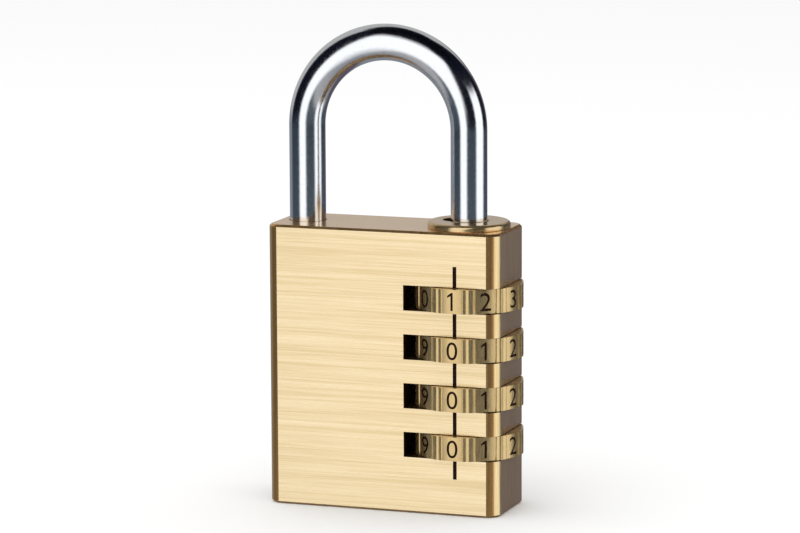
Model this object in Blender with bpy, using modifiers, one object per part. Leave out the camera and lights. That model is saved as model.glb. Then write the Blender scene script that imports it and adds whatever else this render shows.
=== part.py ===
"""Four-dial brass combination padlock with a chromed steel shackle.

Origin: centre of the body's bottom face.  +X to the dial side, +Y to the back, +Z up.
Every inner piece sits on the heel axis, the upright line through the shackle's long leg
and the four dials.  A dial carries its sleeve round with it.  The shackle's four fins
hang under the sleeves' flanges, and each flange has one gate that lets its fin rise.
"""
import math

import bmesh
import bpy
from mathutils import Matrix

MM = 0.001
GAP = 0.3 * MM
OVERSHOOT = 2.0 * MM

# Body block
BODY_WIDTH = 40.0 * MM
BODY_DEPTH = 15.0 * MM
BODY_HEIGHT = 46.7 * MM
CORNER_SETBACK = 1.9 * MM
CORNER_CREASE = 15.0
CORNER_STEPS = 4
RIM_CHAMFER = 0.35 * MM

# Heel axis, dials and their slots
HEEL_X = 12.75 * MM
DIAL_COUNT = 4
DIAL_PITCH = 8.1 * MM
TOP_DIAL_Z = 35.7 * MM
DIAL_HEIGHT = 3.6 * MM
SLOT_HEIGHT = DIAL_HEIGHT + 2 * GAP
SLOT_SAW_RADIUS = 36.0 * MM
SLOT_END_X = 3.15 * MM
SLOT_SAW_STEPS = 80
DIGITS = 10
DIGIT_STEP = 360.0 / DIGITS
PAD_RADIUS = 9.02 * MM
PAD_HALF_ANGLE = 10.9
VALLEY_RADIUS = 8.88 * MM
VALLEY_ANGLE = 14.2
RIB_RADIUS = 9.1 * MM
RIB_HALF_ANGLE = 1.3

# Index line on the front face
INDEX_X = HEEL_X
INDEX_WIDTH = 0.6 * MM
INDEX_DEPTH = 0.3 * MM
INDEX_TOP_Z = 41.2 * MM
INDEX_BOTTOM_Z = 6.1 * MM

# Shackle
BAR_RADIUS = 3.0 * MM
LEG_SPACING = 28.1 * MM
ARCH_Z = 62.5 * MM
ARCH_STEPS = 28
TOE_DEPTH = 6.5 * MM
HEEL_END_Z = 8.3 * MM
END_CHAMFER = 0.5 * MM
FIN_RADIUS = 4.3 * MM
FIN_WIDTH = 1.8 * MM
FIN_HEIGHT = 2.2 * MM
FIN_TOP_ABOVE_DIAL = 0.8 * MM

# Sleeves inside the dials
BORE_RADIUS = 6.0 * MM
SLEEVE_RADIUS = 5.2 * MM
CHAMBER_RADIUS = 4.6 * MM
FLANGE_HOLE_RADIUS = BAR_RADIUS + GAP
SLEEVE_HEIGHT = DIAL_PITCH - GAP
FLANGE_HEIGHT = 1.5 * MM
GATE_WIDTH = FIN_WIDTH + 2 * GAP
LUG_RADIUS = 5.7 * MM
LUG_WIDTH = 1.4 * MM
LUG_HEIGHT = 0.8 * MM
LUG_ROOT = 0.3 * MM
LUG_BELOW_DIAL_TOP = 0.15 * MM
TOOTH_HEIGHT = 1.1 * MM
TOOTH_RADIUS = SLEEVE_RADIUS + GAP
NOTCH_RADIUS = 5.95 * MM
NOTCH_WIDTH = LUG_WIDTH + 2 * GAP
DIAL_BORE_RADIUS = 6.15 * MM

# Body bores above and below the sleeves
FIN_BORE_RADIUS = 4.8 * MM
STACK_STOP_Z = TOP_DIAL_Z + SLEEVE_HEIGHT / 2 + GAP
PLUG_SEAT_RADIUS = 6.6 * MM
PLUG_SEAT_DEPTH = 2.0 * MM

# Collar round the heel leg
COLLAR_RADIUS = 6.8 * MM
COLLAR_TOP_Z = BODY_HEIGHT + 1.15 * MM
COLLAR_UNDERSIDE_Z = BODY_HEIGHT + 0.2 * MM
COLLAR_CHAMFER = 0.35 * MM
SPIGOT_RADIUS = BORE_RADIUS - GAP
SPIGOT_BOTTOM_Z = 44.6 * MM
KEYWAY_RADIUS = 2.25 * MM
KEYWAY_OFFSET = 2.15 * MM

# Bottom plug, thrust washer and reset spring
PLUG_RADIUS = PLUG_SEAT_RADIUS - GAP
PLUG_CHAMFER = 0.3 * MM
PLUG_BOTTOM_Z = 0.2 * MM
PLUG_TOP_Z = PLUG_SEAT_DEPTH - GAP
WASHER_RADIUS = 5.6 * MM
WASHER_THICKNESS = 1.0 * MM
SPRING_COIL_RADIUS = 4.2 * MM
SPRING_WIRE_RADIUS = 0.3 * MM
SPRING_TURNS = 2.5
SPRING_STEPS = 20

# Detents: a ball and a spring behind each dial, in line with the valley beside a rib
BALL_RADIUS = 1.0 * MM
BALL_X = 2.55 * MM
BALL_Y = -0.57 * MM
DETENT_BORE_RADIUS = 1.3 * MM
DETENT_BORE_END_X = -2.9 * MM
DETENT_COIL_RADIUS = 0.72 * MM
DETENT_WIRE_RADIUS = 0.16 * MM
DETENT_TURNS = 4
DETENT_STEPS = 8
DETENT_END_GAP = 0.1 * MM
DRILL_STEPS = 20

ROUND_STEPS = 40
BAR_RESOLUTION = 10


def remove_everything():
    for item in list(bpy.data.objects):
        bpy.data.objects.remove(item, do_unlink=True)


def make_collection(name):
    group = bpy.data.collections.new(name)
    bpy.context.scene.collection.children.link(group)
    return group


def make_material(name, colour, roughness, metallic):
    paint = bpy.data.materials.new(name)
    paint.use_nodes = True
    shader = paint.node_tree.nodes["Principled BSDF"]
    shader.inputs["Base Color"].default_value = (*colour, 1.0)
    shader.inputs["Roughness"].default_value = roughness
    shader.inputs["Metallic"].default_value = metallic
    paint.diffuse_color = (*colour, 1.0)
    return paint


remove_everything()
PARTS = make_collection("combination_padlock")
CUTTERS = make_collection("cutters")


def add_object(name, mesh, location, group=PARTS):
    item = bpy.data.objects.new(name, mesh)
    item.location = location
    group.objects.link(item)
    return item


def as_cutter(item):
    """Move an object to the cutters: it only shapes other pieces."""
    for group in list(item.users_collection):
        group.objects.unlink(item)
    CUTTERS.objects.link(item)
    item.hide_render = True
    item.display_type = "WIRE"
    return item


def mesh_from(bm, name):
    bmesh.ops.recalc_face_normals(bm, faces=bm.faces)
    mesh = bpy.data.meshes.new(name)
    bm.to_mesh(mesh)
    bm.free()
    return mesh


def block(name, size, location, rotation_z=0.0, offset=(0.0, 0.0, 0.0)):
    """A box of the given size, its centre set off from the object's origin."""
    bm = bmesh.new()
    bmesh.ops.create_cube(bm, size=1.0)
    bmesh.ops.scale(bm, vec=size, verts=bm.verts)
    bmesh.ops.translate(bm, vec=offset, verts=bm.verts)
    item = add_object(name, mesh_from(bm, name), location)
    item.rotation_euler = (0.0, 0.0, rotation_z)
    return item


def cylinder(name, radius, bottom, top, x=HEEL_X, steps=ROUND_STEPS):
    """An upright cylinder between two heights."""
    bm = bmesh.new()
    bmesh.ops.create_cone(
        bm, cap_ends=True, segments=steps, radius1=radius, radius2=radius, depth=top - bottom
    )
    return add_object(name, mesh_from(bm, name), (x, 0.0, (bottom + top) / 2))


def turned(name, profile, location, steps=ROUND_STEPS):
    """A profile of (radius, height) points turned about the object's Z axis.

    It runs down the outer side first.  One that starts and ends on the axis makes a solid
    piece, and any other is closed into a ring.
    """
    bm = bmesh.new()
    points = [bm.verts.new((radius, 0.0, height)) for radius, height in profile]
    for first, second in zip(points, points[1:]):
        bm.edges.new((first, second))
    if profile[0][0] > 0.0:
        bm.edges.new((points[-1], points[0]))
    mesh = bpy.data.meshes.new(name)
    bm.to_mesh(mesh)
    bm.free()
    item = add_object(name, mesh, location)
    screw = item.modifiers.new("Screw", "SCREW")
    screw.axis = "Z"
    screw.steps = steps
    screw.render_steps = steps
    screw.use_merge_vertices = True
    screw.merge_threshold = 0.00001
    return item


def boolean(item, tool, operation):
    step = item.modifiers.new(operation.title(), "BOOLEAN")
    step.operation = operation
    step.solver = "EXACT"
    step.object = tool


def cut(item, tool):
    boolean(item, as_cutter(tool), "DIFFERENCE")


def join(item, tool):
    boolean(item, as_cutter(tool), "UNION")


def wire(name, points, radius, resolution):
    """A round wire with filled ends along a line of points."""
    curve = bpy.data.curves.new(name, "CURVE")
    curve.dimensions = "3D"
    spline = curve.splines.new("POLY")
    spline.points.add(len(points) - 1)
    for index, point in enumerate(points):
        spline.points[index].co = (*point, 1.0)
    curve.bevel_depth = radius
    curve.bevel_resolution = resolution
    curve.use_fill_caps = True
    return add_object(name, curve, (0.0, 0.0, 0.0))


def to_mesh(item):
    """Turn a curve object into a closed mesh object of the same name and place."""
    graph = bpy.context.evaluated_depsgraph_get()
    graph.update()
    mesh = bpy.data.meshes.new_from_object(item.evaluated_get(graph))
    bm = bmesh.new()
    bm.from_mesh(mesh)
    bmesh.ops.remove_doubles(bm, verts=bm.verts, dist=0.000005)
    bmesh.ops.recalc_face_normals(bm, faces=bm.faces)
    bm.to_mesh(mesh)
    bm.free()
    name = item.name
    placed = item.matrix_world.copy()
    bpy.data.objects.remove(item, do_unlink=True)
    solid = add_object(name, mesh, (0.0, 0.0, 0.0))
    solid.matrix_world = placed
    return solid


def outline(name, loops, height, location):
    """A flat outline, its first loop outside and the others holes, given a height."""
    curve = bpy.data.curves.new(name, "CURVE")
    curve.dimensions = "2D"
    curve.fill_mode = "BOTH"
    curve.extrude = height / 2
    for loop in loops:
        spline = curve.splines.new("POLY")
        spline.points.add(len(loop) - 1)
        for index, (x, y) in enumerate(loop):
            spline.points[index].co = (x, y, 0.0, 1.0)
        spline.use_cyclic_u = True
    return to_mesh(add_object(name, curve, location))


def smooth(item, angle=35.0):
    item.data.shade_smooth()
    item.data.set_sharp_from_angle(angle=math.radians(angle))


def polar(radius, degrees):
    """A point at an angle from the front, -Y, turning towards +X."""
    turn = math.radians(degrees)
    return (radius * math.sin(turn), -radius * math.cos(turn))


def dial_z(number):
    return TOP_DIAL_Z - (number - 1) * DIAL_PITCH


# Materials
BODY_BRASS = make_material("body_brass", (0.78, 0.64, 0.38), 0.38, 1.0)
DIAL_BRASS = make_material("dial_brass", (0.66, 0.52, 0.30), 0.30, 1.0)
COLLAR_BRASS = make_material("collar_brass", (0.70, 0.55, 0.30), 0.28, 1.0)
PLUG_BRASS = make_material("plug_brass", (0.72, 0.58, 0.34), 0.40, 1.0)
SLEEVE_BRASS = make_material("sleeve_brass", (0.72, 0.60, 0.34), 0.45, 1.0)
SHACKLE_CHROME = make_material("shackle_chrome", (0.80, 0.81, 0.83), 0.08, 1.0)
SPRING_STEEL = make_material("spring_steel", (0.55, 0.56, 0.58), 0.30, 1.0)
BALL_STEEL = make_material("ball_steel", (0.70, 0.71, 0.73), 0.12, 1.0)
WASHER_STEEL = make_material("washer_steel", (0.60, 0.61, 0.62), 0.40, 1.0)


def body_outline():
    """The block's plan: each corner is an arc that meets the flat faces at a crease."""
    crease = math.radians(CORNER_CREASE)
    radius = CORNER_SETBACK / (math.cos(crease) - math.sin(crease))
    centre_x = BODY_WIDTH / 2 - CORNER_SETBACK - radius * math.sin(crease)
    centre_y = BODY_DEPTH / 2 - radius * math.cos(crease)
    arc = []
    for index in range(CORNER_STEPS + 1):
        turn = crease + (math.pi / 2 - 2 * crease) * index / CORNER_STEPS
        arc.append((centre_x + radius * math.sin(turn), centre_y + radius * math.cos(turn)))
    points = [(x, -y) for x, y in arc]
    points += [(x, y) for x, y in reversed(arc)]
    points += [(-x, y) for x, y in arc]
    points += [(-x, -y) for x, y in reversed(arc)]
    return points


def build_body():
    body = outline("body", [body_outline()], BODY_HEIGHT, (0.0, 0.0, BODY_HEIGHT / 2))
    chamfer_rims(body)
    body.data.materials.append(BODY_BRASS)

    cut(body, cylinder("sleeve_bore", BORE_RADIUS, -OVERSHOOT, STACK_STOP_Z))
    cut(body, cylinder("plug_seat", PLUG_SEAT_RADIUS, -OVERSHOOT, PLUG_SEAT_DEPTH))
    fin_bore_top = BODY_HEIGHT - OVERSHOOT / 2
    cut(body, cylinder("fin_bore", FIN_BORE_RADIUS, STACK_STOP_Z - OVERSHOOT / 2, fin_bore_top))
    above_body = BODY_HEIGHT + OVERSHOOT
    cut(body, cylinder("collar_seat", BORE_RADIUS, SPIGOT_BOTTOM_Z - GAP, above_body))
    toe_bottom = BODY_HEIGHT - TOE_DEPTH - 2 * GAP
    toe_x = HEEL_X - LEG_SPACING
    cut(body, cylinder("toe_bore", BAR_RADIUS + GAP, toe_bottom, above_body, x=toe_x))
    index_height = INDEX_TOP_Z - INDEX_BOTTOM_Z
    index_centre = (INDEX_X, -BODY_DEPTH / 2, (INDEX_TOP_Z + INDEX_BOTTOM_Z) / 2)
    cut(body, block("index_line", (INDEX_WIDTH, 2 * INDEX_DEPTH, index_height), index_centre))
    for number in range(1, DIAL_COUNT + 1):
        middle = dial_z(number)
        saw = cylinder(
            f"slot_saw_{number}",
            SLOT_SAW_RADIUS,
            middle - SLOT_HEIGHT / 2,
            middle + SLOT_HEIGHT / 2,
            x=SLOT_END_X + SLOT_SAW_RADIUS,
            steps=SLOT_SAW_STEPS,
        )
        cut(body, saw)
        cut(body, detent_drill(f"detent_drill_{number}", middle))
    smooth(body)
    return body


def chamfer_rims(body):
    """Break the edges all round the block's top and bottom faces."""
    bm = bmesh.new()
    bm.from_mesh(body.data)
    level = [face for face in bm.faces if abs(face.normal.z) > 0.9]
    rims = []
    for edge in bm.edges:
        if sum(face in level for face in edge.link_faces) == 1:
            rims.append(edge)
    bmesh.ops.bevel(bm, geom=rims, offset=RIM_CHAMFER, segments=1, affect="EDGES")
    bm.to_mesh(body.data)
    bm.free()


def detent_drill(name, middle):
    """A short level cylinder that bores the pocket for one ball and its spring."""
    end = SLOT_END_X + OVERSHOOT / 2
    bm = bmesh.new()
    bmesh.ops.create_cone(
        bm,
        cap_ends=True,
        segments=DRILL_STEPS,
        radius1=DETENT_BORE_RADIUS,
        radius2=DETENT_BORE_RADIUS,
        depth=end - DETENT_BORE_END_X,
        matrix=Matrix.Rotation(math.radians(90.0), 4, "Y"),
    )
    place = ((end + DETENT_BORE_END_X) / 2, BALL_Y, middle)
    return add_object(name, mesh_from(bm, name), place)


def build_collar():
    chamfer = COLLAR_CHAMFER
    profile = [
        (COLLAR_RADIUS - chamfer, COLLAR_TOP_Z),
        (COLLAR_RADIUS, COLLAR_TOP_Z - chamfer),
        (COLLAR_RADIUS, COLLAR_UNDERSIDE_Z),
        (SPIGOT_RADIUS, COLLAR_UNDERSIDE_Z),
        (SPIGOT_RADIUS, SPIGOT_BOTTOM_Z),
        (FLANGE_HOLE_RADIUS, SPIGOT_BOTTOM_Z),
        (FLANGE_HOLE_RADIUS, COLLAR_TOP_Z),
    ]
    collar = turned("collar", profile, (HEEL_X, 0.0, 0.0))
    collar.data.materials.append(COLLAR_BRASS)
    keyway = cylinder(
        "collar_keyway",
        KEYWAY_RADIUS,
        SPIGOT_BOTTOM_Z - OVERSHOOT,
        COLLAR_TOP_Z + OVERSHOOT,
        x=HEEL_X - KEYWAY_OFFSET,
    )
    cut(collar, keyway)
    smooth(collar)
    return collar


def build_shackle():
    """The bar runs up the heel leg, over the arch and down into the body at the toe."""
    toe_x = -LEG_SPACING
    radius = LEG_SPACING / 2
    points = [(0.0, 0.0, HEEL_END_Z)]
    for index in range(ARCH_STEPS + 1):
        turn = math.pi * index / ARCH_STEPS
        points.append((toe_x / 2 + radius * math.cos(turn), 0.0, ARCH_Z + radius * math.sin(turn)))
    points.append((toe_x, 0.0, BODY_HEIGHT - TOE_DEPTH))
    bar = wire("shackle", points, BAR_RADIUS, BAR_RESOLUTION)
    bar.location = (HEEL_X, 0.0, 0.0)
    bpy.context.view_layer.update()
    shackle = to_mesh(bar)
    chamfer_bar_ends(shackle)
    shackle.data.materials.append(SHACKLE_CHROME)
    for number in range(1, DIAL_COUNT + 1):
        top = dial_z(number) + FIN_TOP_ABOVE_DIAL
        length = FIN_RADIUS - BAR_RADIUS / 2
        fin = block(
            f"fin_{number}",
            (length, FIN_WIDTH, FIN_HEIGHT),
            (HEEL_X, 0.0, top - FIN_HEIGHT / 2),
            offset=(BAR_RADIUS / 2 + length / 2, 0.0, 0.0),
        )
        join(shackle, fin)
    smooth(shackle)
    return shackle


def chamfer_bar_ends(shackle):
    """Break the edge between each flat end and the round bar."""
    bm = bmesh.new()
    bm.from_mesh(shackle.data)
    rims = []
    for edge in bm.edges:
        downward = [face.normal.z < -0.9 for face in edge.link_faces]
        below_arch = max(vert.co.z for vert in edge.verts) < BODY_HEIGHT
        if below_arch and downward.count(True) == 1:
            rims.append(edge)
    bmesh.ops.bevel(bm, geom=rims, offset=END_CHAMFER, segments=1, affect="EDGES")
    bm.to_mesh(shackle.data)
    bm.free()


def dial_outside():
    """Ten round pads for the digits, and a rib between two valleys after each one."""
    points = []
    for digit in range(DIGITS):
        centre = digit * DIGIT_STEP
        rib = centre + DIGIT_STEP / 2
        for share in (-1.0, -1.0 / 3.0, 1.0 / 3.0, 1.0):
            points.append(polar(PAD_RADIUS, centre + share * PAD_HALF_ANGLE))
        points.append(polar(VALLEY_RADIUS, centre + VALLEY_ANGLE))
        points.append(polar(RIB_RADIUS, rib - RIB_HALF_ANGLE))
        points.append(polar(RIB_RADIUS, rib + RIB_HALF_ANGLE))
        points.append(polar(VALLEY_RADIUS, centre + DIGIT_STEP - VALLEY_ANGLE))
    return points


def dial_inside():
    """Ten teeth with a notch between each pair, one notch in line with each digit."""
    half_notch = math.degrees(math.asin(NOTCH_WIDTH / 2 / NOTCH_RADIUS))
    half_mouth = math.degrees(math.asin(NOTCH_WIDTH / 2 / TOOTH_RADIUS))
    points = []
    for digit in range(DIGITS):
        centre = digit * DIGIT_STEP
        points.append(polar(TOOTH_RADIUS, centre - half_mouth))
        points.append(polar(NOTCH_RADIUS, centre - half_notch))
        points.append(polar(NOTCH_RADIUS, centre + half_notch))
        points.append(polar(TOOTH_RADIUS, centre + half_mouth))
        points.append(polar(TOOTH_RADIUS, centre + DIGIT_STEP / 2))
    return points


def build_dial(number):
    middle = dial_z(number)
    place = (HEEL_X, 0.0, middle)
    dial = outline(f"dial_{number}", [dial_outside(), dial_inside()], DIAL_HEIGHT, place)
    dial.data.materials.append(DIAL_BRASS)
    tooth_bottom = middle + DIAL_HEIGHT / 2 - TOOTH_HEIGHT
    below_dial = middle - DIAL_HEIGHT / 2 - OVERSHOOT
    cut(dial, cylinder(f"dial_bore_{number}", DIAL_BORE_RADIUS, below_dial, tooth_bottom))
    smooth(dial, 20.0)
    return dial


def build_sleeve(number):
    middle = dial_z(number)
    half = SLEEVE_HEIGHT / 2
    profile = [
        (SLEEVE_RADIUS, half),
        (SLEEVE_RADIUS, -half),
        (CHAMBER_RADIUS, -half),
        (CHAMBER_RADIUS, half - FLANGE_HEIGHT),
        (FLANGE_HOLE_RADIUS, half - FLANGE_HEIGHT),
        (FLANGE_HOLE_RADIUS, half),
    ]
    sleeve = turned(f"sleeve_{number}", profile, (HEEL_X, 0.0, middle))
    sleeve.data.materials.append(SLEEVE_BRASS)
    gate = block(
        f"sleeve_gate_{number}",
        (CHAMBER_RADIUS, GATE_WIDTH, 2 * OVERSHOOT),
        (HEEL_X, 0.0, middle + half),
        offset=(CHAMBER_RADIUS / 2, 0.0, 0.0),
    )
    cut(sleeve, gate)
    lug_z = middle + DIAL_HEIGHT / 2 - LUG_BELOW_DIAL_TOP - LUG_HEIGHT / 2
    inner = SLEEVE_RADIUS - LUG_ROOT
    for side, turn in (("front", 0.0), ("back", math.pi)):
        lug = block(
            f"sleeve_lug_{side}_{number}",
            (LUG_WIDTH, LUG_RADIUS - inner, LUG_HEIGHT),
            (HEEL_X, 0.0, lug_z),
            rotation_z=turn,
            offset=(0.0, -(LUG_RADIUS + inner) / 2, 0.0),
        )
        join(sleeve, lug)
    smooth(sleeve)
    return sleeve


def build_detent(number):
    middle = dial_z(number)
    bm = bmesh.new()
    bmesh.ops.create_uvsphere(bm, u_segments=12, v_segments=8, radius=BALL_RADIUS)
    name = f"detent_ball_{number}"
    ball = add_object(name, mesh_from(bm, name), (BALL_X, BALL_Y, middle))
    ball.data.materials.append(BALL_STEEL)
    ball.data.shade_smooth()

    start = DETENT_BORE_END_X + GAP + DETENT_WIRE_RADIUS
    end = BALL_X - BALL_RADIUS - DETENT_END_GAP - DETENT_WIRE_RADIUS
    points = coil_points(DETENT_COIL_RADIUS, end - start, DETENT_TURNS, DETENT_STEPS)
    spring = wire(f"detent_spring_{number}", points, DETENT_WIRE_RADIUS, 2)
    spring.location = (start, BALL_Y, middle)
    spring.rotation_euler = (0.0, math.radians(90.0), 0.0)
    spring.data.materials.append(SPRING_STEEL)
    return ball, spring


def coil_points(radius, length, turns, per_turn):
    """Points along a coil that rises along Z from the origin."""
    count = round(turns * per_turn)
    points = []
    for index in range(count + 1):
        turn = 2.0 * math.pi * index / per_turn
        points.append((radius * math.cos(turn), radius * math.sin(turn), length * index / count))
    return points


def build_plug():
    profile = [
        (0.0, PLUG_TOP_Z),
        (PLUG_RADIUS, PLUG_TOP_Z),
        (PLUG_RADIUS, PLUG_BOTTOM_Z + PLUG_CHAMFER),
        (PLUG_RADIUS - PLUG_CHAMFER, PLUG_BOTTOM_Z),
        (0.0, PLUG_BOTTOM_Z),
    ]
    plug = turned("bottom_plug", profile, (HEEL_X, 0.0, 0.0))
    plug.data.materials.append(PLUG_BRASS)
    smooth(plug)
    return plug


def build_washer():
    top = dial_z(DIAL_COUNT) - SLEEVE_HEIGHT / 2 - GAP
    profile = [
        (WASHER_RADIUS, top),
        (WASHER_RADIUS, top - WASHER_THICKNESS),
        (FLANGE_HOLE_RADIUS, top - WASHER_THICKNESS),
        (FLANGE_HOLE_RADIUS, top),
    ]
    washer = turned("thrust_washer", profile, (HEEL_X, 0.0, 0.0))
    washer.data.materials.append(WASHER_STEEL)
    smooth(washer)
    return top - WASHER_THICKNESS


def build_reset_spring(washer_bottom):
    start = PLUG_TOP_Z + GAP + SPRING_WIRE_RADIUS
    end = washer_bottom - GAP - SPRING_WIRE_RADIUS
    points = coil_points(SPRING_COIL_RADIUS, end - start, SPRING_TURNS, SPRING_STEPS)
    spring = wire("reset_spring", points, SPRING_WIRE_RADIUS, 2)
    spring.location = (HEEL_X, 0.0, start)
    spring.data.materials.append(SPRING_STEEL)
    return spring


build_body()
build_collar()
build_shackle()
for position in range(1, DIAL_COUNT + 1):
    build_dial(position)
    build_sleeve(position)
    build_detent(position)
build_plug()
build_reset_spring(build_washer())
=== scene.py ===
"""Looks for the four-dial brass combination padlock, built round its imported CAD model."""

import math

import bmesh
import bpy
from mathutils import Matrix, Vector


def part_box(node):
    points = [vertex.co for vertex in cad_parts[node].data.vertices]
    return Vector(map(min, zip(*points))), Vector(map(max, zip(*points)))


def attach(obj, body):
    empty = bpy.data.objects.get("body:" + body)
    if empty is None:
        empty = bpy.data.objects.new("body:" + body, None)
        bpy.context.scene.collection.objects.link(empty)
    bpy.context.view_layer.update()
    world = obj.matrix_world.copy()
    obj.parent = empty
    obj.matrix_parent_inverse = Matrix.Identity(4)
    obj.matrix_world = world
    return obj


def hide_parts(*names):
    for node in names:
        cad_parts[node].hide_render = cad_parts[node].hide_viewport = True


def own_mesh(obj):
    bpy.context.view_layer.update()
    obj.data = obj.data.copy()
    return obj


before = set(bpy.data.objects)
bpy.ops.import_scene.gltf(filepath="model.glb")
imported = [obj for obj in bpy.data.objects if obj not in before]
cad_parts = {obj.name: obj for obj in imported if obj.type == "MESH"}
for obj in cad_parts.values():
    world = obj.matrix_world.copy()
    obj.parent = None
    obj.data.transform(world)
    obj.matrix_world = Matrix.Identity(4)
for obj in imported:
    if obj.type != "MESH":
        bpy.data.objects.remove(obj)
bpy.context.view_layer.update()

MM = 0.001
WELD_DISTANCE = 0.002 * MM
DIALS = (1, 2, 3, 4)
DIGITS = 10
STEP = 360.0 / DIGITS
SHOWN_DIGIT = {1: 1, 2: 0, 3: 0, 4: 0}


def box_centre(node):
    low, high = (Vector(corner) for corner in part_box(node))
    return (low + high) / 2


BODY_LOW, BODY_HIGH = (Vector(corner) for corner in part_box("body"))
BODY_SIZE = BODY_HIGH - BODY_LOW
BODY_TOP = BODY_HIGH.z
HEEL_X = box_centre("thrust_washer").x
BALL_Y = box_centre("detent_ball_1").y
DIAL_Z = {number: box_centre(f"dial_{number}").z for number in DIALS}
PITCH = DIAL_Z[1] - DIAL_Z[2]
SHACKLE_LOW, SHACKLE_HIGH = (Vector(corner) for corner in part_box("shackle"))
BAR_RADIUS = (SHACKLE_HIGH.y - SHACKLE_LOW.y) / 2
TOE_X = SHACKLE_LOW.x + BAR_RADIUS
LEG_SPACING = HEEL_X - TOE_X
ARCH_Z = SHACKLE_HIGH.z - BAR_RADIUS - LEG_SPACING / 2

# Body
CORNER_SETBACK = 1.9 * MM
CORNER_CREASE = 15.0
CORNER_STEPS = 12
RIM_CHAMFER = 0.38 * MM
SLOT_HEIGHT = 4.15 * MM
SLOT_SAW_RADIUS = 36.0 * MM
SLOT_SAW_STEPS = 160
SLOT_END_X = 3.15 * MM
INDEX_WIDTH = 0.6 * MM
INDEX_DEPTH = 0.3 * MM
INDEX_ABOVE = 5.5 * MM
INDEX_BELOW = 5.3 * MM
SLEEVE_BORE_RADIUS = 6.0 * MM
SLEEVE_BORE_TOP = DIAL_Z[1] + PITCH / 2 + 0.15 * MM
FIN_BORE_RADIUS = 4.8 * MM
FIN_BORE_OVERLAP = 1.0 * MM
FIN_BORE_ROOF = 1.0 * MM
PLUG_SEAT_RADIUS = 6.6 * MM
PLUG_SEAT_DEPTH = 2.0 * MM
PLUG_SEAT_OVERSHOOT = 3.0 * MM
COLLAR_SEAT_RADIUS = 6.0 * MM
COLLAR_SEAT_DEPTH = 2.4 * MM
TOE_BORE_RADIUS = BAR_RADIUS + 0.12 * MM
TOE_BORE_DEPTH = 7.1 * MM
DETENT_BORE_RADIUS = 1.3 * MM
DETENT_BORE_START_X = -2.9 * MM
DETENT_BORE_OVERLAP = 1.0 * MM
DETENT_BORE_STEPS = 40
OVERSHOOT = 2.0 * MM
INDEX_OVERSHOOT = 1.0 * MM
EDGE_ROUND = 0.05 * MM
FACE_TOLERANCE = 0.01 * MM
SKIN = 0.06 * MM
# Materials of the body's faces; corner, rim and cut hold painted shade
FINISHES = ("front", "side", "corner", "edge", "rim", "end", "cut", "black")

# Collar
COLLAR_RADIUS = 6.8 * MM
COLLAR_HEIGHT = 1.12 * MM
COLLAR_ROUND = 0.62 * MM
COLLAR_HOLE = BAR_RADIUS + 0.25 * MM
KEYWAY_RADIUS = 2.25 * MM
KEYWAY_OFFSET = 2.15 * MM
KEYWAY_DEPTH = 4.0 * MM
KEYWAY_STEPS = 64
COLLAR_ROUND_STEPS = 8
COLLAR_GAP = 0.01 * MM
COLLAR_FOOT_HEIGHT = 0.06 * MM
COLLAR_FOOT_INSET = 0.08 * MM
COLLAR_HOLE_CHAMFER = 0.15 * MM
SPIGOT_RADIUS = 5.9 * MM
SPIGOT_DEPTH = 2.1 * MM

# Shackle
ARCH_STEPS = 120
BAR_RESOLUTION = 22
TOE_DEPTH = 6.5 * MM
BAR_END_ROUND = 0.5 * MM
FIN_ROOT = 1.5 * MM
FIN_REACH = 4.3 * MM
FIN_WIDTH = 1.8 * MM
FIN_HEIGHT = 2.2 * MM
FIN_TOP_ABOVE_DIAL = 0.8 * MM

# Dials
DIAL_HEIGHT = 3.95 * MM
DIAL_BORE = 6.15 * MM
PAD_RADIUS = 8.90 * MM
PAD_HALF_ANGLE = 10.8
PAD_STEPS = 8
DIAL_BORE_STEPS = 120
DIAL_EDGE_ROUND = 0.22 * MM
DIGIT_HEIGHT = 2.95 * MM
DIGIT_DEPTH = 0.2 * MM
DIGIT_TOOL_HALF = 0.5 * MM

# From a pad's lip over the valley to the rib: degrees from the pad's middle, radius in mm
EDGE_SHAPE = (
    (11.4, 9.04),
    (12.0, 9.06),
    (14.2, 8.965),
    (16.1, 9.005),
    (17.3, 9.085),
    (18.0, 9.095),
)

# Outline of the one, whose stem stands on the pad's middle: x and y in mm
ONE = (
    (0.17, -1.5),
    (0.17, 1.5),
    (-0.11, 1.5),
    (-0.80, 0.98),
    (-0.80, 0.64),
    (-0.22, 0.94),
    (-0.22, -1.5),
)

# Colour that the brushed faces and the collar start from, before their grain
BRASS = (0.76, 0.56, 0.29)

# Camera: degrees, metres and millimetres of lens
CAMERA_AZIMUTH = 19.565
CAMERA_ELEVATION = 9.123
CAMERA_ROLL = -0.238
CAMERA_DISTANCE = 0.6469
CAMERA_TARGET = Vector((0.000755, 0.0, 0.039552))
CAMERA_LENS = 177.0
SENSOR_WIDTH = 36.0
CLIP_NEAR = 0.01
CLIP_FAR = 50.0

# Floor and lamp: metres and watts
FLOOR_HALF_SIZE = 6.0
FLOOR_SHADE = 0.9
LAMP_WIDTH = 0.9
LAMP_DEPTH = 0.7
LAMP_POWER = 2.2
LAMP_PLACE = Vector((-0.25, -0.2, 0.9))

# Light tent
TENT_RADIUS = 0.36
TENT_CENTRE = Vector((0, 0, 40 * MM))
TENT_MERIDIANS = 144
TENT_PARALLELS = 90

# Radiance of the tent's panels
WHITE = (1.20, 1.26, 1.34)
NAVY = (0.004, 0.005, 0.012)
SLATE = (0.060, 0.083, 0.111)
MIST = (0.078, 0.103, 0.130)
BLACK = (0.002, 0.002, 0.005)
SILVER = (0.49, 0.50, 0.52)
GREY = (0.24, 0.265, 0.31)
UMBER = (0.108, 0.094, 0.125)

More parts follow.
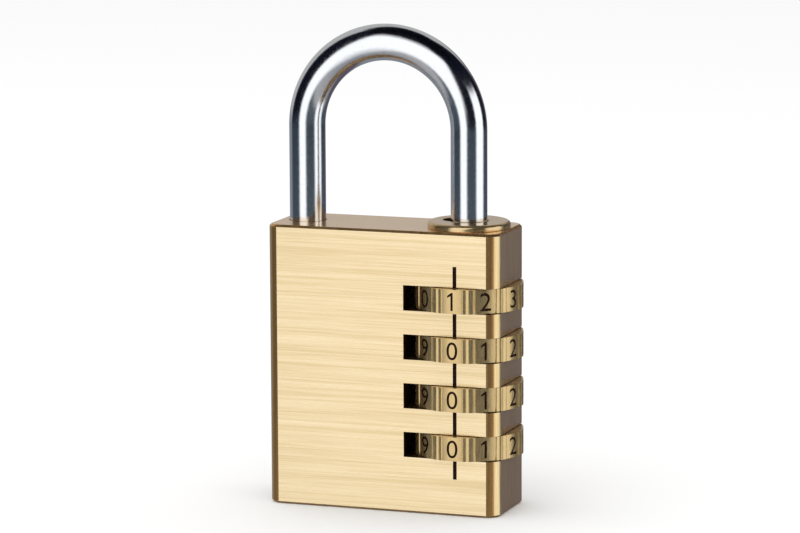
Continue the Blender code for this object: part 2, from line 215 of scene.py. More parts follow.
# Limits of the tent's panels in degrees: turn from the camera, positive to its right, and height
LOW_HALF = (-180, -13)
GREY_BELT = (-90, 2)
UMBER_TURN = (118, 165)
UMBER_HEIGHT = (-90, 25)
FLOOR_TURN = (-100, 100)
LEFT_DARK_TURN = (-114, -55)
RIGHT_DARK_TURN = (0, 136)
DARK_HEIGHT = (-20, 95)
MIST_TURN = (-13, 46)
MIST_HEIGHT = (-20, 5)
FRONT_PANEL_LEFT = -53
FRONT_PANEL_RIGHT = -13
FRONT_PANEL_LEAN = 0.6
FRONT_PANEL_HEIGHT = (-90, 45)
RIGHT_PANEL_TURN = (47, 97)
RIGHT_PANEL_HEIGHT = (-30, 28)
ROOF_TOP = 180
ROOF_AHEAD = 55
ROOF_BEHIND = 60

# Fades of the tent's panels in degrees: where one starts and how far it runs
FLOOR_FADE = (-15, 60)
DARK_FADE = (1, 7)
SOFT_FADE = (5, 10)
PANEL_FADE = (-62, 44)
SOFT_LEAST = 4
SOFT_MORE = 7


# ---------------------------------------------------------------- helpers


def new_object(name, mesh):
    item = bpy.data.objects.new(name, mesh)
    bpy.context.scene.collection.objects.link(item)
    return item


def object_from_bmesh(name, bm):
    bmesh.ops.recalc_face_normals(bm, faces=bm.faces)
    mesh = bpy.data.meshes.new(name)
    bm.to_mesh(mesh)
    bm.free()
    return new_object(name, mesh)


def cylinder(name, radius, bottom, top, x=HEEL_X, y=0.0, steps=96):
    bm = bmesh.new()
    bmesh.ops.create_cone(
        bm,
        cap_ends=True,
        segments=steps,
        radius1=radius,
        radius2=radius,
        depth=top - bottom,
        matrix=Matrix.Translation((x, y, (bottom + top) / 2)),
    )
    return object_from_bmesh(name, bm)


def block(name, low, high):
    bm = bmesh.new()
    bmesh.ops.create_cube(bm, size=1.0)
    size = [b - a for a, b in zip(low, high)]
    middle = [(a + b) / 2 for a, b in zip(low, high)]
    bmesh.ops.scale(bm, vec=size, verts=bm.verts)
    bmesh.ops.translate(bm, vec=middle, verts=bm.verts)
    return object_from_bmesh(name, bm)


def final_mesh(item):
    """The object's mesh with its modifiers and curve settings worked out."""
    graph = bpy.context.evaluated_depsgraph_get()
    graph.update()
    return bpy.data.meshes.new_from_object(item.evaluated_get(graph))


def apply_modifiers(item):
    mesh = final_mesh(item)
    item.modifiers.clear()
    item.data = mesh
    return item


def drop(item):
    bpy.data.objects.remove(item, do_unlink=True)


def boolean(item, tools, operation="DIFFERENCE"):
    """Cut or join with each tool in turn, then drop the tools."""
    for tool in tools:
        step = item.modifiers.new(operation.title(), "BOOLEAN")
        step.operation = operation
        step.solver = "EXACT"
        step.material_mode = "TRANSFER"
        step.object = tool
    apply_modifiers(item)
    for tool in tools:
        drop(tool)
    return item


def bevel(item, width, segments=2, angle=30.0):
    step = item.modifiers.new("Bevel", "BEVEL")
    step.width = width
    step.segments = segments
    step.limit_method = "ANGLE"
    step.angle_limit = math.radians(angle)
    step.use_clamp_overlap = True
    return apply_modifiers(item)


def smooth(item, angle=30.0):
    """Round shading below an angle, with wide faces keeping their own direction."""
    item.data.shade_smooth()
    item.data.set_sharp_from_angle(angle=math.radians(angle))
    step = item.modifiers.new("Weighted", "WEIGHTED_NORMAL")
    step.mode = "FACE_AREA"
    step.weight = 100
    step.keep_sharp = True
    apply_modifiers(item)


def curve_to_mesh(item):
    mesh = final_mesh(item)
    name = item.name
    matrix = item.matrix_world.copy()
    drop(item)
    bm = bmesh.new()
    bm.from_mesh(mesh)
    bmesh.ops.remove_doubles(bm, verts=bm.verts, dist=WELD_DISTANCE)
    bmesh.ops.transform(bm, matrix=matrix, verts=bm.verts)
    return object_from_bmesh(name, bm)


def turned(name, profile, steps=128):
    """A closed profile of (radius, height) points turned about the heel axis."""
    bm = bmesh.new()
    points = [bm.verts.new((radius, 0.0, height)) for radius, height in profile]
    edges = [bm.edges.new((a, b)) for a, b in zip(points, points[1:] + points[:1])]
    bmesh.ops.spin(
        bm,
        geom=points + edges,
        axis=(0, 0, 1),
        cent=(0, 0, 0),
        steps=steps,
        angle=2 * math.pi,
        use_merge=True,
    )
    bmesh.ops.remove_doubles(bm, verts=bm.verts, dist=WELD_DISTANCE)
    bmesh.ops.translate(bm, vec=(HEEL_X, 0, 0), verts=bm.verts)
    return object_from_bmesh(name, bm)


def polar(radius, degrees):
    """A point at an angle from the front, -Y, turning towards +X."""
    turn = math.radians(degrees)
    return radius * math.sin(turn), -radius * math.cos(turn)


# ---------------------------------------------------------------- materials


class Nodes:
    """A small builder for one procedural material."""

    def __init__(self, name, colour, roughness, metallic):
        self.material = bpy.data.materials.new(name)
        self.material.use_nodes = True
        self.tree = self.material.node_tree
        self.shader = self.tree.nodes["Principled BSDF"]
        self.set("Base Color", (*colour, 1.0))
        self.set("Roughness", roughness)
        self.set("Metallic", metallic)
        self.place = self.add("ShaderNodeTexCoord").outputs["Object"]

    def set(self, socket, value):
        self.shader.inputs[socket].default_value = value

    def add(self, kind, **settings):
        node = self.tree.nodes.new(kind)
        for key, value in settings.items():
            setattr(node, key, value)
        return node

    def link(self, output, target):
        self.tree.links.new(output, target)

    def noise(self, scale, detail=3.0, roughness=0.55):
        """Noise over the object's own coordinates, stretched by a scale for each axis."""
        mapping = self.add("ShaderNodeMapping")
        mapping.inputs["Scale"].default_value = scale
        self.link(self.place, mapping.inputs["Vector"])
        noise = self.add("ShaderNodeTexNoise")
        noise.inputs["Scale"].default_value = 1.0
        noise.inputs["Detail"].default_value = detail
        noise.inputs["Roughness"].default_value = roughness
        self.link(mapping.outputs["Vector"], noise.inputs["Vector"])
        return noise.outputs["Fac"]

    def spread(self, value, low, high, start=0.3, end=0.7):
        """Remap a noise's middle range to low..high."""
        node = self.add("ShaderNodeMapRange")
        node.inputs["From Min"].default_value = start
        node.inputs["From Max"].default_value = end
        node.inputs["To Min"].default_value = low
        node.inputs["To Max"].default_value = high
        self.link(value, node.inputs["Value"])
        return node.outputs["Result"]

    def tint(self, factor, dark, light, start=0.32, end=0.68):
        """Base colour running between two colours."""
        ramp = self.add("ShaderNodeValToRGB")
        ramp.color_ramp.elements[0].position = start
        ramp.color_ramp.elements[0].color = (*dark, 1.0)
        ramp.color_ramp.elements[1].position = end
        ramp.color_ramp.elements[1].color = (*light, 1.0)
        self.link(factor, ramp.inputs["Fac"])
        self.link(ramp.outputs["Color"], self.shader.inputs["Base Color"])

    def rough(self, factor, low, high):
        self.link(self.spread(factor, low, high), self.shader.inputs["Roughness"])

    def bump(self, factor, distance, strength=1.0):
        node = self.add("ShaderNodeBump")
        node.inputs["Distance"].default_value = distance
        node.inputs["Strength"].default_value = strength
        self.link(factor, node.inputs["Height"])
        self.link(node.outputs["Normal"], self.shader.inputs["Normal"])


def brushed_brass():
    """Front and back: long level strokes of many widths."""
    nodes = Nodes("brushed_brass", BRASS, 0.26, 0.82)
    broad = nodes.noise((16, 16, 1300), detail=6.0, roughness=0.75)
    fine = nodes.noise((60, 60, 6500), detail=3.0, roughness=0.6)
    mix = nodes.add("ShaderNodeMix", data_type="FLOAT")
    mix.inputs["Factor"].default_value = 0.35
    nodes.link(broad, mix.inputs["A"])
    nodes.link(fine, mix.inputs["B"])
    strokes = mix.outputs["Result"]
    nodes.tint(strokes, (0.69, 0.51, 0.26), (0.97, 0.76, 0.47), 0.38, 0.62)
    nodes.rough(strokes, 0.18, 0.32)
    nodes.bump(strokes, 0.00003, 0.4)
    return nodes.material


def corner_brass():
    """Half of each rounded corner, next to the front or back: painted shade, a darker and more
    orange brass for the dark band along the rounding.
    """
    nodes = Nodes("corner_brass", (0.78, 0.42, 0.14), 0.24, 0.92)
    grain = nodes.noise((3000, 3000, 50), detail=4.0, roughness=0.6)
    nodes.tint(grain, (0.72, 0.37, 0.11), (0.84, 0.47, 0.17))
    nodes.rough(grain, 0.20, 0.30)
    nodes.bump(grain, 0.00001, 0.4)
    return nodes.material


def edge_brass():
    """The other half of each rounded corner, next to a side: burnished."""
    nodes = Nodes("edge_brass", (0.77, 0.57, 0.29), 0.20, 0.95)
    grain = nodes.noise((3000, 3000, 120), detail=4.0, roughness=0.6)
    nodes.tint(grain, (0.68, 0.48, 0.22), (0.84, 0.64, 0.35))
    nodes.rough(grain, 0.17, 0.28)
    nodes.bump(grain, 0.00001, 0.5)
    return nodes.material


def rim_brass():
    """Chamfer round the top and the bottom: painted shade, a dark brown brass."""
    nodes = Nodes("rim_brass", (0.50, 0.28, 0.10), 0.3, 0.85)
    grain = nodes.noise((900, 900, 900), detail=4.0)
    nodes.tint(grain, (0.42, 0.22, 0.08), (0.58, 0.36, 0.14))
    nodes.rough(grain, 0.24, 0.36)
    return nodes.material


def drawn_brass():
    """The narrow sides: smooth, with a faint upright grain."""
    nodes = Nodes("drawn_brass", (0.86, 0.65, 0.39), 0.18, 0.88)
    grain = nodes.noise((2200, 2200, 40), detail=5.0, roughness=0.65)
    nodes.tint(grain, (0.78, 0.57, 0.33), (0.96, 0.73, 0.45), 0.38, 0.62)
    nodes.rough(grain, 0.13, 0.24)
    nodes.bump(grain, 0.00001, 0.4)
    return nodes.material


def milled_brass():
    """Top and bottom ends: faint milling lines across the depth."""
    nodes = Nodes("milled_brass", (0.86, 0.60, 0.32), 0.2, 0.82)
    lines = nodes.noise((300, 2600, 300), detail=4.0, roughness=0.6)
    nodes.tint(lines, (0.82, 0.55, 0.28), (0.94, 0.65, 0.36))
    nodes.rough(lines, 0.14, 0.26)
    nodes.bump(lines, 0.00001, 0.4)
    return nodes.material


def cut_brass():
    """Inside the slots and bores: dull cut metal, darkened as painted shade."""
    nodes = Nodes("cut_brass", (0.20, 0.14, 0.07), 0.55, 1.0)
    marks = nodes.noise((900, 900, 2500), detail=4.0)
    nodes.tint(marks, (0.08, 0.045, 0.02), (0.20, 0.12, 0.06))
    nodes.rough(marks, 0.45, 0.65)
    return nodes.material


def dial_brass():
    nodes = Nodes("dial_brass", (0.69, 0.51, 0.25), 0.22, 0.88)
    grain = nodes.noise((5200, 5200, 500), detail=4.0, roughness=0.6)
    nodes.tint(grain, (0.60, 0.41, 0.17), (0.75, 0.54, 0.26))
    nodes.rough(grain, 0.22, 0.33)
    nodes.bump(grain, 0.00001, 0.3)
    return nodes.material


def collar_brass():
    nodes = Nodes("collar_brass", BRASS, 0.2, 0.9)
    grain = nodes.noise((2500, 2500, 2500), detail=3.0)
    nodes.tint(grain, (0.66, 0.46, 0.23), (0.78, 0.56, 0.29))
    nodes.rough(grain, 0.16, 0.26)
    return nodes.material


def chrome():
    nodes = Nodes("polished_chrome", (0.78, 0.80, 0.83), 0.15, 1.0)
    haze = nodes.noise((1600, 1600, 1600), detail=6.0, roughness=0.75)
    nodes.tint(haze, (0.78, 0.77, 0.755), (0.89, 0.875, 0.86))
    nodes.rough(haze, 0.11, 0.21)
    nodes.bump(haze, 0.00001, 0.45)
    return nodes.material


def black_paint():
    nodes = Nodes("black_paint", (0.016, 0.008, 0.005), 0.6, 0.0)
    specks = nodes.noise((6000, 6000, 6000), detail=3.0)
    nodes.tint(specks, (0.014, 0.003, 0.001), (0.032, 0.009, 0.004))
    nodes.rough(specks, 0.5, 0.75)
    nodes.set("Specular IOR Level", 0.12)
    return nodes.material


def plain_metal(name, dark, light, low, high):
    """Metal of the inner pieces, between two colours and two roughnesses."""
    nodes = Nodes(name, dark, (low + high) / 2, 1.0)
    grain = nodes.noise((2000, 2000, 2000), detail=4.0)
    nodes.tint(grain, dark, light)
    nodes.rough(grain, low, high)
    return nodes.material


MATERIALS = {
    "front": brushed_brass(),
    "side": drawn_brass(),
    "corner": corner_brass(),
    "edge": edge_brass(),
    "rim": rim_brass(),
    "end": milled_brass(),
    "cut": cut_brass(),
    "dial": dial_brass(),
    "collar": collar_brass(),
    "chrome": chrome(),
    "black": black_paint(),
    "sleeve": plain_metal("turned_brass", (0.62, 0.49, 0.26), (0.80, 0.65, 0.38), 0.30, 0.45),
    "plug": plain_metal("plug_brass", (0.70, 0.56, 0.32), (0.86, 0.71, 0.42), 0.25, 0.40),
    "ball": plain_metal("ball_steel", (0.62, 0.63, 0.65), (0.72, 0.73, 0.75), 0.06, 0.12),
    "spring": plain_metal("spring_wire", (0.38, 0.39, 0.41), (0.58, 0.59, 0.61), 0.25, 0.38),
    "washer": plain_metal("zinc_washer", (0.50, 0.51, 0.53), (0.66, 0.67, 0.68), 0.30, 0.45),
}


# ---------------------------------------------------------------- body


def body_outline():
    """The block's plan: each corner is an arc that meets the flat faces at a crease."""
    crease = math.radians(CORNER_CREASE)
    radius = CORNER_SETBACK / (math.cos(crease) - math.sin(crease))
    centre_x = BODY_HIGH.x - CORNER_SETBACK - radius * math.sin(crease)
    centre_y = BODY_HIGH.y - radius * math.cos(crease)
    arc = []
    for index in range(CORNER_STEPS + 1):
        turn = crease + (math.pi / 2 - 2 * crease) * index / CORNER_STEPS
        arc.append((centre_x + radius * math.sin(turn), centre_y + radius * math.cos(turn)))
    points = [(x, -y) for x, y in arc]
    points += [(x, y) for x, y in reversed(arc)]
    points += [(-x, y) for x, y in arc]
    points += [(-x, -y) for x, y in reversed(arc)]
    return points


def body_block():
    bm = bmesh.new()
    base = [bm.verts.new((x, y, BODY_LOW.z)) for x, y in body_outline()]
    floor_face = bm.faces.new(base)
    raised = bmesh.ops.extrude_face_region(bm, geom=[floor_face])["geom"]
    tops = [item for item in raised if isinstance(item, bmesh.types.BMVert)]
    bmesh.ops.translate(bm, vec=(0, 0, BODY_SIZE.z), verts=tops)
    rims = [e for e in bm.edges if abs(e.verts[0].co.z - e.verts[1].co.z) < 1e-6]
    bmesh.ops.bevel(bm, geom=rims, offset=RIM_CHAMFER, segments=1, affect="EDGES")
    body = object_from_bmesh("body_block", bm)
    for key in FINISHES:
        body.data.materials.append(MATERIALS[key])
    boolean(body, body_cutters())
    bevel(body, EDGE_ROUND, segments=2, angle=40.0)
    paint_body(body)
    smooth(body, 14.0)
    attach(body, "case")
    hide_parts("body")
    return body


def body_cutters():
    """The solids that bore, slot and engrave the block."""
    above = BODY_TOP + OVERSHOOT
    fin_bore_low = SLEEVE_BORE_TOP - FIN_BORE_OVERLAP
    tools = [
        cylinder("bore", SLEEVE_BORE_RADIUS, -OVERSHOOT, SLEEVE_BORE_TOP),
        cylinder("plug_seat", PLUG_SEAT_RADIUS, -PLUG_SEAT_OVERSHOOT, PLUG_SEAT_DEPTH),
        cylinder("fin_bore", FIN_BORE_RADIUS, fin_bore_low, BODY_TOP - FIN_BORE_ROOF),
        cylinder("collar_seat", COLLAR_SEAT_RADIUS, BODY_TOP - COLLAR_SEAT_DEPTH, above),
        cylinder("toe_bore", TOE_BORE_RADIUS, BODY_TOP - TOE_BORE_DEPTH, above, TOE_X),
        block(
            "index_line",
            (
                HEEL_X - INDEX_WIDTH / 2,
                BODY_LOW.y - INDEX_OVERSHOOT,
                DIAL_Z[4] - INDEX_BELOW,
            ),
            (HEEL_X + INDEX_WIDTH / 2, BODY_LOW.y + INDEX_DEPTH, DIAL_Z[1] + INDEX_ABOVE),
        ),
    ]
    for number in DIALS:
        middle = DIAL_Z[number]
        half = SLOT_HEIGHT / 2
        centre_x = SLOT_END_X + SLOT_SAW_RADIUS
        saw = cylinder(
            "slot",
            SLOT_SAW_RADIUS,
            middle - half,
            middle + half,
            centre_x,
            steps=SLOT_SAW_STEPS,
        )
        tools.append(saw)
        tools.append(detent_drill(middle))
    return tools


def detent_drill(middle):
    """A level drill for one ball and its spring, from the slot towards the left."""
    end = SLOT_END_X + DETENT_BORE_OVERLAP
    start = DETENT_BORE_START_X
    bm = bmesh.new()
    place = Matrix.Translation(((start + end) / 2, BALL_Y, middle))
    bmesh.ops.create_cone(
        bm,
        cap_ends=True,
        segments=DETENT_BORE_STEPS,
        radius1=DETENT_BORE_RADIUS,
        radius2=DETENT_BORE_RADIUS,
        depth=end - start,
        matrix=place @ Matrix.Rotation(math.pi / 2, 4, "Y"),
    )
    return object_from_bmesh("detent_drill", bm)


def paint_body(body):
    """Give each face the finish of the surface it belongs to, with painted shade on the corners'
    front halves, the chamfers and the faces inside the cuts.
    """
    corner_x = BODY_HIGH.x - CORNER_SETBACK
    corner_y = BODY_HIGH.y - CORNER_SETBACK
    index_floor = BODY_LOW.y + INDEX_DEPTH * 1.1
    index_half = INDEX_WIDTH / 2 + FACE_TOLERANCE
    for face in body.data.polygons:
        x, y, z = face.center
        inwards = min(BODY_HIGH.x - abs(x), BODY_HIGH.y - abs(y))
        in_corner = abs(x) > corner_x and abs(y) > corner_y
        in_index = abs(x - HEEL_X) < index_half and BODY_LOW.y + SKIN < y < index_floor
        if in_index and abs(face.normal.z) < 0.5:
            finish = "black"
        elif z > BODY_TOP - FACE_TOLERANCE or z < FACE_TOLERANCE:
            finish = "end"
        elif (z > BODY_TOP - RIM_CHAMFER or z < RIM_CHAMFER) and inwards < RIM_CHAMFER:
            # Chamfers: painted shade
            finish = "rim"
        elif in_corner:
            # The front-facing half of each rounded corner gets painted shade
            finish = "corner" if abs(face.normal.y) > abs(face.normal.x) else "edge"
        elif inwards > SKIN:
            # Faces inside the slots and bores: painted shade
            finish = "cut"
        elif abs(face.normal.y) > 0.5:
            finish = "front"
        else:
            finish = "side"
        face.material_index = FINISHES.index(finish)


# ---------------------------------------------------------------- collar and shackle


def collar_ring():
    top = BODY_TOP + COLLAR_HEIGHT
    profile = []
    for index in range(COLLAR_ROUND_STEPS + 1):
        turn = math.radians(90.0 * index / COLLAR_ROUND_STEPS)
        radius = COLLAR_RADIUS - COLLAR_ROUND * (1 - math.sin(turn))
        profile.append((radius, top - COLLAR_ROUND * (1 - math.cos(turn))))
    profile += [
        (COLLAR_RADIUS, BODY_TOP + COLLAR_FOOT_HEIGHT),
        (COLLAR_RADIUS - COLLAR_FOOT_INSET, BODY_TOP + COLLAR_GAP),
        (SPIGOT_RADIUS, BODY_TOP + COLLAR_GAP),
        (SPIGOT_RADIUS, BODY_TOP - SPIGOT_DEPTH),
        (COLLAR_HOLE, BODY_TOP - SPIGOT_DEPTH),
        (COLLAR_HOLE, top - COLLAR_HOLE_CHAMFER),
        (COLLAR_HOLE + COLLAR_HOLE_CHAMFER, top),
    ]
    collar = turned("collar_ring", profile)
    collar.data.materials.append(MATERIALS["collar"])
    keyway = cylinder(
        "keyway",
        KEYWAY_RADIUS,
        BODY_TOP - KEYWAY_DEPTH,
        top + OVERSHOOT,
        HEEL_X - KEYWAY_OFFSET,
        steps=KEYWAY_STEPS,
    )
    # The keyway's walls take the cut metal: painted shade in the notch
    keyway.data.materials.append(MATERIALS["cut"])
    boolean(collar, [keyway])
    bevel(collar, EDGE_ROUND, segments=2, angle=50.0)
    # Faces round the leg's hole take the cut metal too: painted shade in the hole
    for face in collar.data.polygons:
        out = math.hypot(face.center.x - HEEL_X, face.center.y)
        if out < COLLAR_HOLE + EDGE_ROUND:
            face.material_index = 1
    smooth(collar, 30.0)
    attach(collar, "case")
    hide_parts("collar")
    return collar


def shackle_bar():
    radius = LEG_SPACING / 2
    middle = (HEEL_X + TOE_X) / 2
    points = [(HEEL_X, 0, SHACKLE_LOW.z)]
    for index in range(ARCH_STEPS + 1):
        turn = math.pi * index / ARCH_STEPS
        points.append((middle + radius * math.cos(turn), 0, ARCH_Z + radius * math.sin(turn)))
    points.append((TOE_X, 0, BODY_TOP - TOE_DEPTH))
    curve = bpy.data.curves.new("bar", "CURVE")
    curve.dimensions = "3D"
    spline = curve.splines.new("POLY")
    spline.points.add(len(points) - 1)
    for index, point in enumerate(points):
        spline.points[index].co = (*point, 1.0)
    curve.bevel_depth = BAR_RADIUS
    curve.bevel_resolution = BAR_RESOLUTION
    curve.use_fill_caps = True
    bar = curve_to_mesh(new_object("shackle_bar", curve))
    round_bar_ends(bar)
    bar.data.materials.append(MATERIALS["chrome"])
    boolean(bar, [fin(number) for number in DIALS], "UNION")
    smooth(bar, 35.0)
    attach(bar, "shackle")
    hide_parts("shackle")
    return bar


def round_bar_ends(bar):
    """Round the rims of the toe's end and the heel's end."""
    bm = bmesh.new()
    bm.from_mesh(bar.data)
    rims = []
    for edge in bm.edges:
        downward = [face.normal.z < -0.9 for face in edge.link_faces]
        if max(vert.co.z for vert in edge.verts) < BODY_TOP and downward.count(True) == 1:
            rims.append(edge)
    bmesh.ops.bevel(
        bm, geom=rims, offset=BAR_END_ROUND, segments=4, profile=0.5, affect="EDGES"
    )
    bm.to_mesh(bar.data)
    bm.free()


def fin(number):
    """The heel leg's fin for one dial, pointing to the right."""
    top = DIAL_Z[number] + FIN_TOP_ABOVE_DIAL
    low = (HEEL_X + FIN_ROOT, -FIN_WIDTH / 2, top - FIN_HEIGHT)
    high = (HEEL_X + FIN_REACH, FIN_WIDTH / 2, top)
    return block("fin", low, high)


# ---------------------------------------------------------------- dials


def dial_outline():
    """Ten round pads for the digits, each with a lip, and a rib between two valleys."""
    points = []
    for digit in range(DIGITS):
        centre = digit * STEP
        for index in range(PAD_STEPS + 1):
            share = 2 * index / PAD_STEPS - 1
            points.append(polar(PAD_RADIUS, centre + share * PAD_HALF_ANGLE))
        for away, radius in EDGE_SHAPE:
            points.append(polar(radius * MM, centre + away))
        for away, radius in reversed(EDGE_SHAPE[:-1]):
            points.append(polar(radius * MM, centre + STEP - away))
    return points


def dial_blank():
    """One dial on the Z axis, its zero to the front."""
    curve = bpy.data.curves.new("dial", "CURVE")
    curve.dimensions = "2D"
    curve.fill_mode = "BOTH"
    curve.extrude = DIAL_HEIGHT / 2
    inside = [polar(DIAL_BORE, 360.0 * step / DIAL_BORE_STEPS) for step in range(DIAL_BORE_STEPS)]
    for loop in (dial_outline(), inside):
        spline = curve.splines.new("POLY")
        spline.points.add(len(loop) - 1)
        for index, (x, y) in enumerate(loop):
            spline.points[index].co = (x, y, 0.0, 1.0)
        spline.use_cyclic_u = True
    dial = curve_to_mesh(new_object("dial_blank", curve))
    dial.data.materials.append(MATERIALS["dial"])
    dial.data.materials.append(MATERIALS["black"])
    bevel(dial, DIAL_EDGE_ROUND, segments=3, angle=60.0)
    boolean(dial, [digit_tool(digit) for digit in range(DIGITS)])
    return dial


def digit_curve(digit):
    """A digit's outline, from Blender's own font, except for the one."""
    if digit == 1:
        curve = bpy.data.curves.new("digit", "CURVE")
        curve.dimensions = "2D"
        curve.fill_mode = "BOTH"
        spline = curve.splines.new("POLY")
        spline.points.add(len(ONE) - 1)
        for index, (x, y) in enumerate(ONE):
            spline.points[index].co = (x * MM, y * MM, 0.0, 1.0)
        spline.use_cyclic_u = True
    else:
        curve = bpy.data.curves.new("digit", "FONT")
        curve.body = str(digit)
        curve.size = DIGIT_HEIGHT
        curve.resolution_u = 6
    curve.extrude = DIGIT_TOOL_HALF
    return curve


def digit_tool(digit):
    """A digit's solid, standing through its pad, that engraves and blackens it."""
    tool = curve_to_mesh(new_object("digit_tool", digit_curve(digit)))
    tool.data.materials.append(MATERIALS["black"])
    low = Vector([min(v.co[axis] for v in tool.data.vertices) for axis in range(3)])
    high = Vector([max(v.co[axis] for v in tool.data.vertices) for axis in range(3)])
    middle = 0.0 if digit == 1 else (low.x + high.x) / 2
    centring = Matrix.Translation((-middle, -(low.y + high.y) / 2, 0))
    scale = DIGIT_HEIGHT / (high.y - low.y)
    sizing = Matrix.Diagonal((scale, scale, 1.0, 1.0))
    upright = Matrix.Rotation(math.pi / 2, 4, "X")
    outward = Matrix.Translation((0, -(PAD_RADIUS - DIGIT_DEPTH + DIGIT_TOOL_HALF), 0))
    around = Matrix.Rotation(math.radians(digit * STEP), 4, "Z")
    tool.data.transform(around @ outward @ upright @ sizing @ centring)
    return tool


def dials():
    blank = dial_blank()
    for number in DIALS:
        name = f"dial_ring_{number}"
        dial = new_object(name, blank.data.copy())
        turn = Matrix.Rotation(math.radians(-SHOWN_DIGIT[number] * STEP), 4, "Z")
        dial.data.transform(Matrix.Translation((HEEL_X, 0, DIAL_Z[number])) @ turn)
        smooth(dial, 22.0)
        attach(dial, f"dial_{number}")
        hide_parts(f"dial_{number}")
    drop(blank)


# ---------------------------------------------------------------- inner pieces


def finish_node(node, key):
    """Give a CAD piece that keeps its own shape a finish of its own."""
    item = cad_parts[node]
    if not item.material_slots:
        item.data.materials.append(MATERIALS[key])
    for place in item.material_slots:
        place.material = MATERIALS[key]


def coil(name, node):
    """A spring copied from its CAD piece and fixed to the case."""
    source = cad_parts[node]
    spring = new_object(name, source.data.copy())
    spring.data.transform(source.matrix_world)
    spring.data.materials.clear()
    spring.data.materials.append(MATERIALS["spring"])
    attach(spring, "case")
    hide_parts(node)
    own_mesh(spring)


def inner_pieces():
    finish_node("bottom_plug", "plug")
    finish_node("thrust_washer", "washer")
    coil("reset_coil", "reset_spring")
    for number in DIALS:
        finish_node(f"sleeve_{number}", "sleeve")
        finish_node(f"detent_ball_{number}", "ball")
        coil(
            f"detent_coil_{number}",
            f"detent_spring_{number}",
        )


# ---------------------------------------------------------------- studio


def emission(name):
    """Light from a surface, in its vertex colours."""
    material = bpy.data.materials.new(name)
    material.use_nodes = True
    tree = material.node_tree
    tree.nodes.clear()
    output = tree.nodes.new("ShaderNodeOutputMaterial")
    shader = tree.nodes.new("ShaderNodeEmission")
    colours = tree.nodes.new("ShaderNodeAttribute")
    colours.attribute_name = "panel"
    tree.links.new(colours.outputs["Color"], shader.inputs["Color"])
    tree.links.new(shader.outputs["Emission"], output.inputs["Surface"])
    return material


def blend(first, second, factor):
    factor = limited(factor)
    return tuple(a + (b - a) * factor for a, b in zip(first, second))


def limited(value):
    return max(0.0, min(1.0, value))


def band(value, low, high, soft):
    """1 between two limits, fading to 0 over a soft edge."""
    rise = (value - low) / soft + 0.5
    fall = (high - value) / soft + 0.5
    return limited(min(rise, fall))


def fade(height, start, run):
    """0 above a height, rising to 1 a run below it."""
    return (start - height) / run


def tent_colour(turn, height):
    """Radiance of the tent at a turn from the camera, positive to its right, and a height."""
    soft = SOFT_LEAST + SOFT_MORE * limited(fade(height, *SOFT_FADE))
    around = blend(SILVER, GREY, band(height, *GREY_BELT, 8))
    in_umber = band(turn, *UMBER_TURN, 12) * band(height, *UMBER_HEIGHT, 10)
    colour = blend(around, UMBER, in_umber)
    ground = blend(SILVER, GREY, fade(height, *FLOOR_FADE))
    colour = blend(colour, ground, band(height, *LOW_HALF, 10) * band(turn, *FLOOR_TURN, 20))
    dark = blend(NAVY, SLATE, fade(height, *DARK_FADE))
    for limits in (LEFT_DARK_TURN, RIGHT_DARK_TURN):
        in_dark = band(turn, *limits, soft) * band(height, *DARK_HEIGHT, 8)
        colour = blend(colour, dark, in_dark)
    mist = blend(NAVY, MIST, fade(height, *DARK_FADE))
    colour = blend(colour, mist, band(turn, *MIST_TURN, soft) * band(height, *MIST_HEIGHT, 6))
    panel_right = FRONT_PANEL_RIGHT + max(0.0, height) * FRONT_PANEL_LEAN
    panel_low, panel_run = PANEL_FADE
    below = limited((height - panel_low) / panel_run)
    in_panel = band(turn, FRONT_PANEL_LEFT, panel_right, soft)
    in_panel *= band(height, *FRONT_PANEL_HEIGHT, 8) * below
    colour = blend(colour, WHITE, in_panel)
    in_panel = band(turn, *RIGHT_PANEL_TURN, soft) * band(height, *RIGHT_PANEL_HEIGHT, 6)
    colour = blend(colour, WHITE, in_panel)
    roof = ROOF_AHEAD if abs(turn) < 90 else ROOF_BEHIND
    return blend(colour, BLACK, band(height, roof, ROOF_TOP, 4))


def light_tent():
    """Panels all round the lock, seen only in its reflections."""
    bm = bmesh.new()
    bmesh.ops.create_uvsphere(
        bm, u_segments=TENT_MERIDIANS, v_segments=TENT_PARALLELS, radius=TENT_RADIUS
    )
    bmesh.ops.translate(bm, vec=TENT_CENTRE, verts=bm.verts)
    tent = object_from_bmesh("light_tent", bm)
    tent.data.flip_normals()
    panel = tent.data.color_attributes.new("panel", "FLOAT_COLOR", "POINT")
    for vertex in tent.data.vertices:
        x, y, z = vertex.co - TENT_CENTRE
        height = math.degrees(math.asin(max(-1.0, min(1.0, z / TENT_RADIUS))))
        turn = math.degrees(math.atan2(x, -y)) - CAMERA_AZIMUTH
        turn = (turn + 180) % 360 - 180
        panel.data[vertex.index].color = (*tent_colour(turn, height), 1.0)
    tent.data.materials.append(emission("tent_panels"))
    tent.visible_camera = False
    tent.visible_diffuse = False
    tent.visible_shadow = False
    tent.visible_transmission = False
    tent.visible_volume_scatter = False


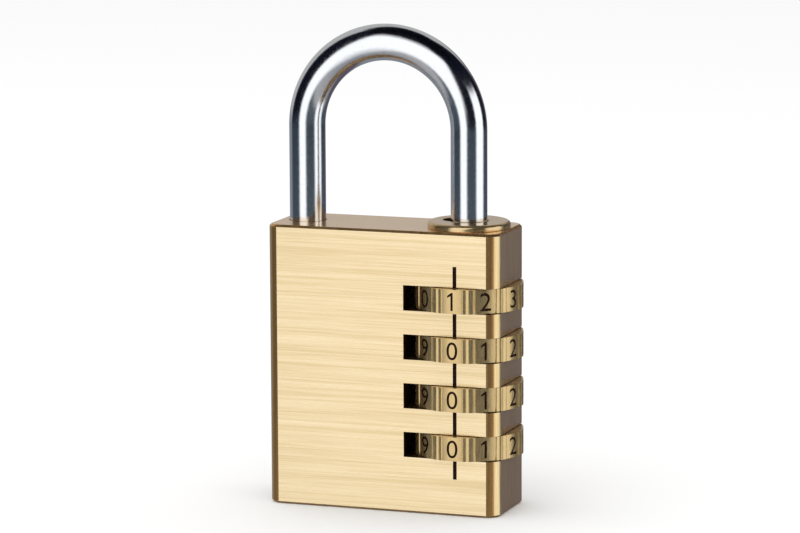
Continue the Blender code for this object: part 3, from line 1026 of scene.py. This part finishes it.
def floor():
    bm = bmesh.new()
    bmesh.ops.create_grid(bm, x_segments=1, y_segments=1, size=FLOOR_HALF_SIZE)
    ground = object_from_bmesh("floor", bm)
    material = bpy.data.materials.new("pale_floor")
    material.use_nodes = True
    shader = material.node_tree.nodes["Principled BSDF"]
    shader.inputs["Base Color"].default_value = (FLOOR_SHADE, FLOOR_SHADE, FLOOR_SHADE, 1.0)
    shader.inputs["Roughness"].default_value = 0.9
    shader.inputs["Specular IOR Level"].default_value = 0.0
    ground.data.materials.append(material)
    ground.visible_glossy = False


def studio():
    world = bpy.data.worlds.new("studio")
    bpy.context.scene.world = world
    world.use_nodes = True
    background = world.node_tree.nodes["Background"]
    background.inputs["Color"].default_value = (1.0, 1.0, 1.0, 1.0)
    background.inputs["Strength"].default_value = 1.0

    light = bpy.data.lights.new("overhead_softbox", "AREA")
    light.shape = "RECTANGLE"
    light.size = LAMP_WIDTH
    light.size_y = LAMP_DEPTH
    light.energy = LAMP_POWER
    lamp = bpy.data.objects.new("overhead_softbox", light)
    lamp.location = LAMP_PLACE
    lamp.rotation_euler = (-LAMP_PLACE).to_track_quat("-Z", "Y").to_euler()
    lamp.visible_glossy = False
    bpy.context.scene.collection.objects.link(lamp)


def camera():
    azimuth = math.radians(CAMERA_AZIMUTH)
    elevation = math.radians(CAMERA_ELEVATION)
    roll = math.radians(CAMERA_ROLL)
    back = Vector(
        (
            math.sin(azimuth) * math.cos(elevation),
            -math.cos(azimuth) * math.cos(elevation),
            math.sin(elevation),
        )
    )
    level = Vector((math.cos(azimuth), math.sin(azimuth), 0.0))
    up = back.cross(level)
    right = level * math.cos(roll) + up * math.sin(roll)
    up = back.cross(right)
    data = bpy.data.cameras.new("camera")
    data.sensor_width = SENSOR_WIDTH
    data.lens = CAMERA_LENS
    data.clip_start = CLIP_NEAR
    data.clip_end = CLIP_FAR
    item = bpy.data.objects.new("camera", data)
    turn = Matrix((right, up, back)).transposed().to_4x4()
    item.matrix_world = Matrix.Translation(CAMERA_TARGET + back * CAMERA_DISTANCE) @ turn
    bpy.context.scene.collection.objects.link(item)
    bpy.context.scene.camera = item


body_block()
collar_ring()
shackle_bar()
dials()
inner_pieces()
light_tent()
floor()
studio()
camera()
bpy.context.scene.view_settings.view_transform = "Standard"
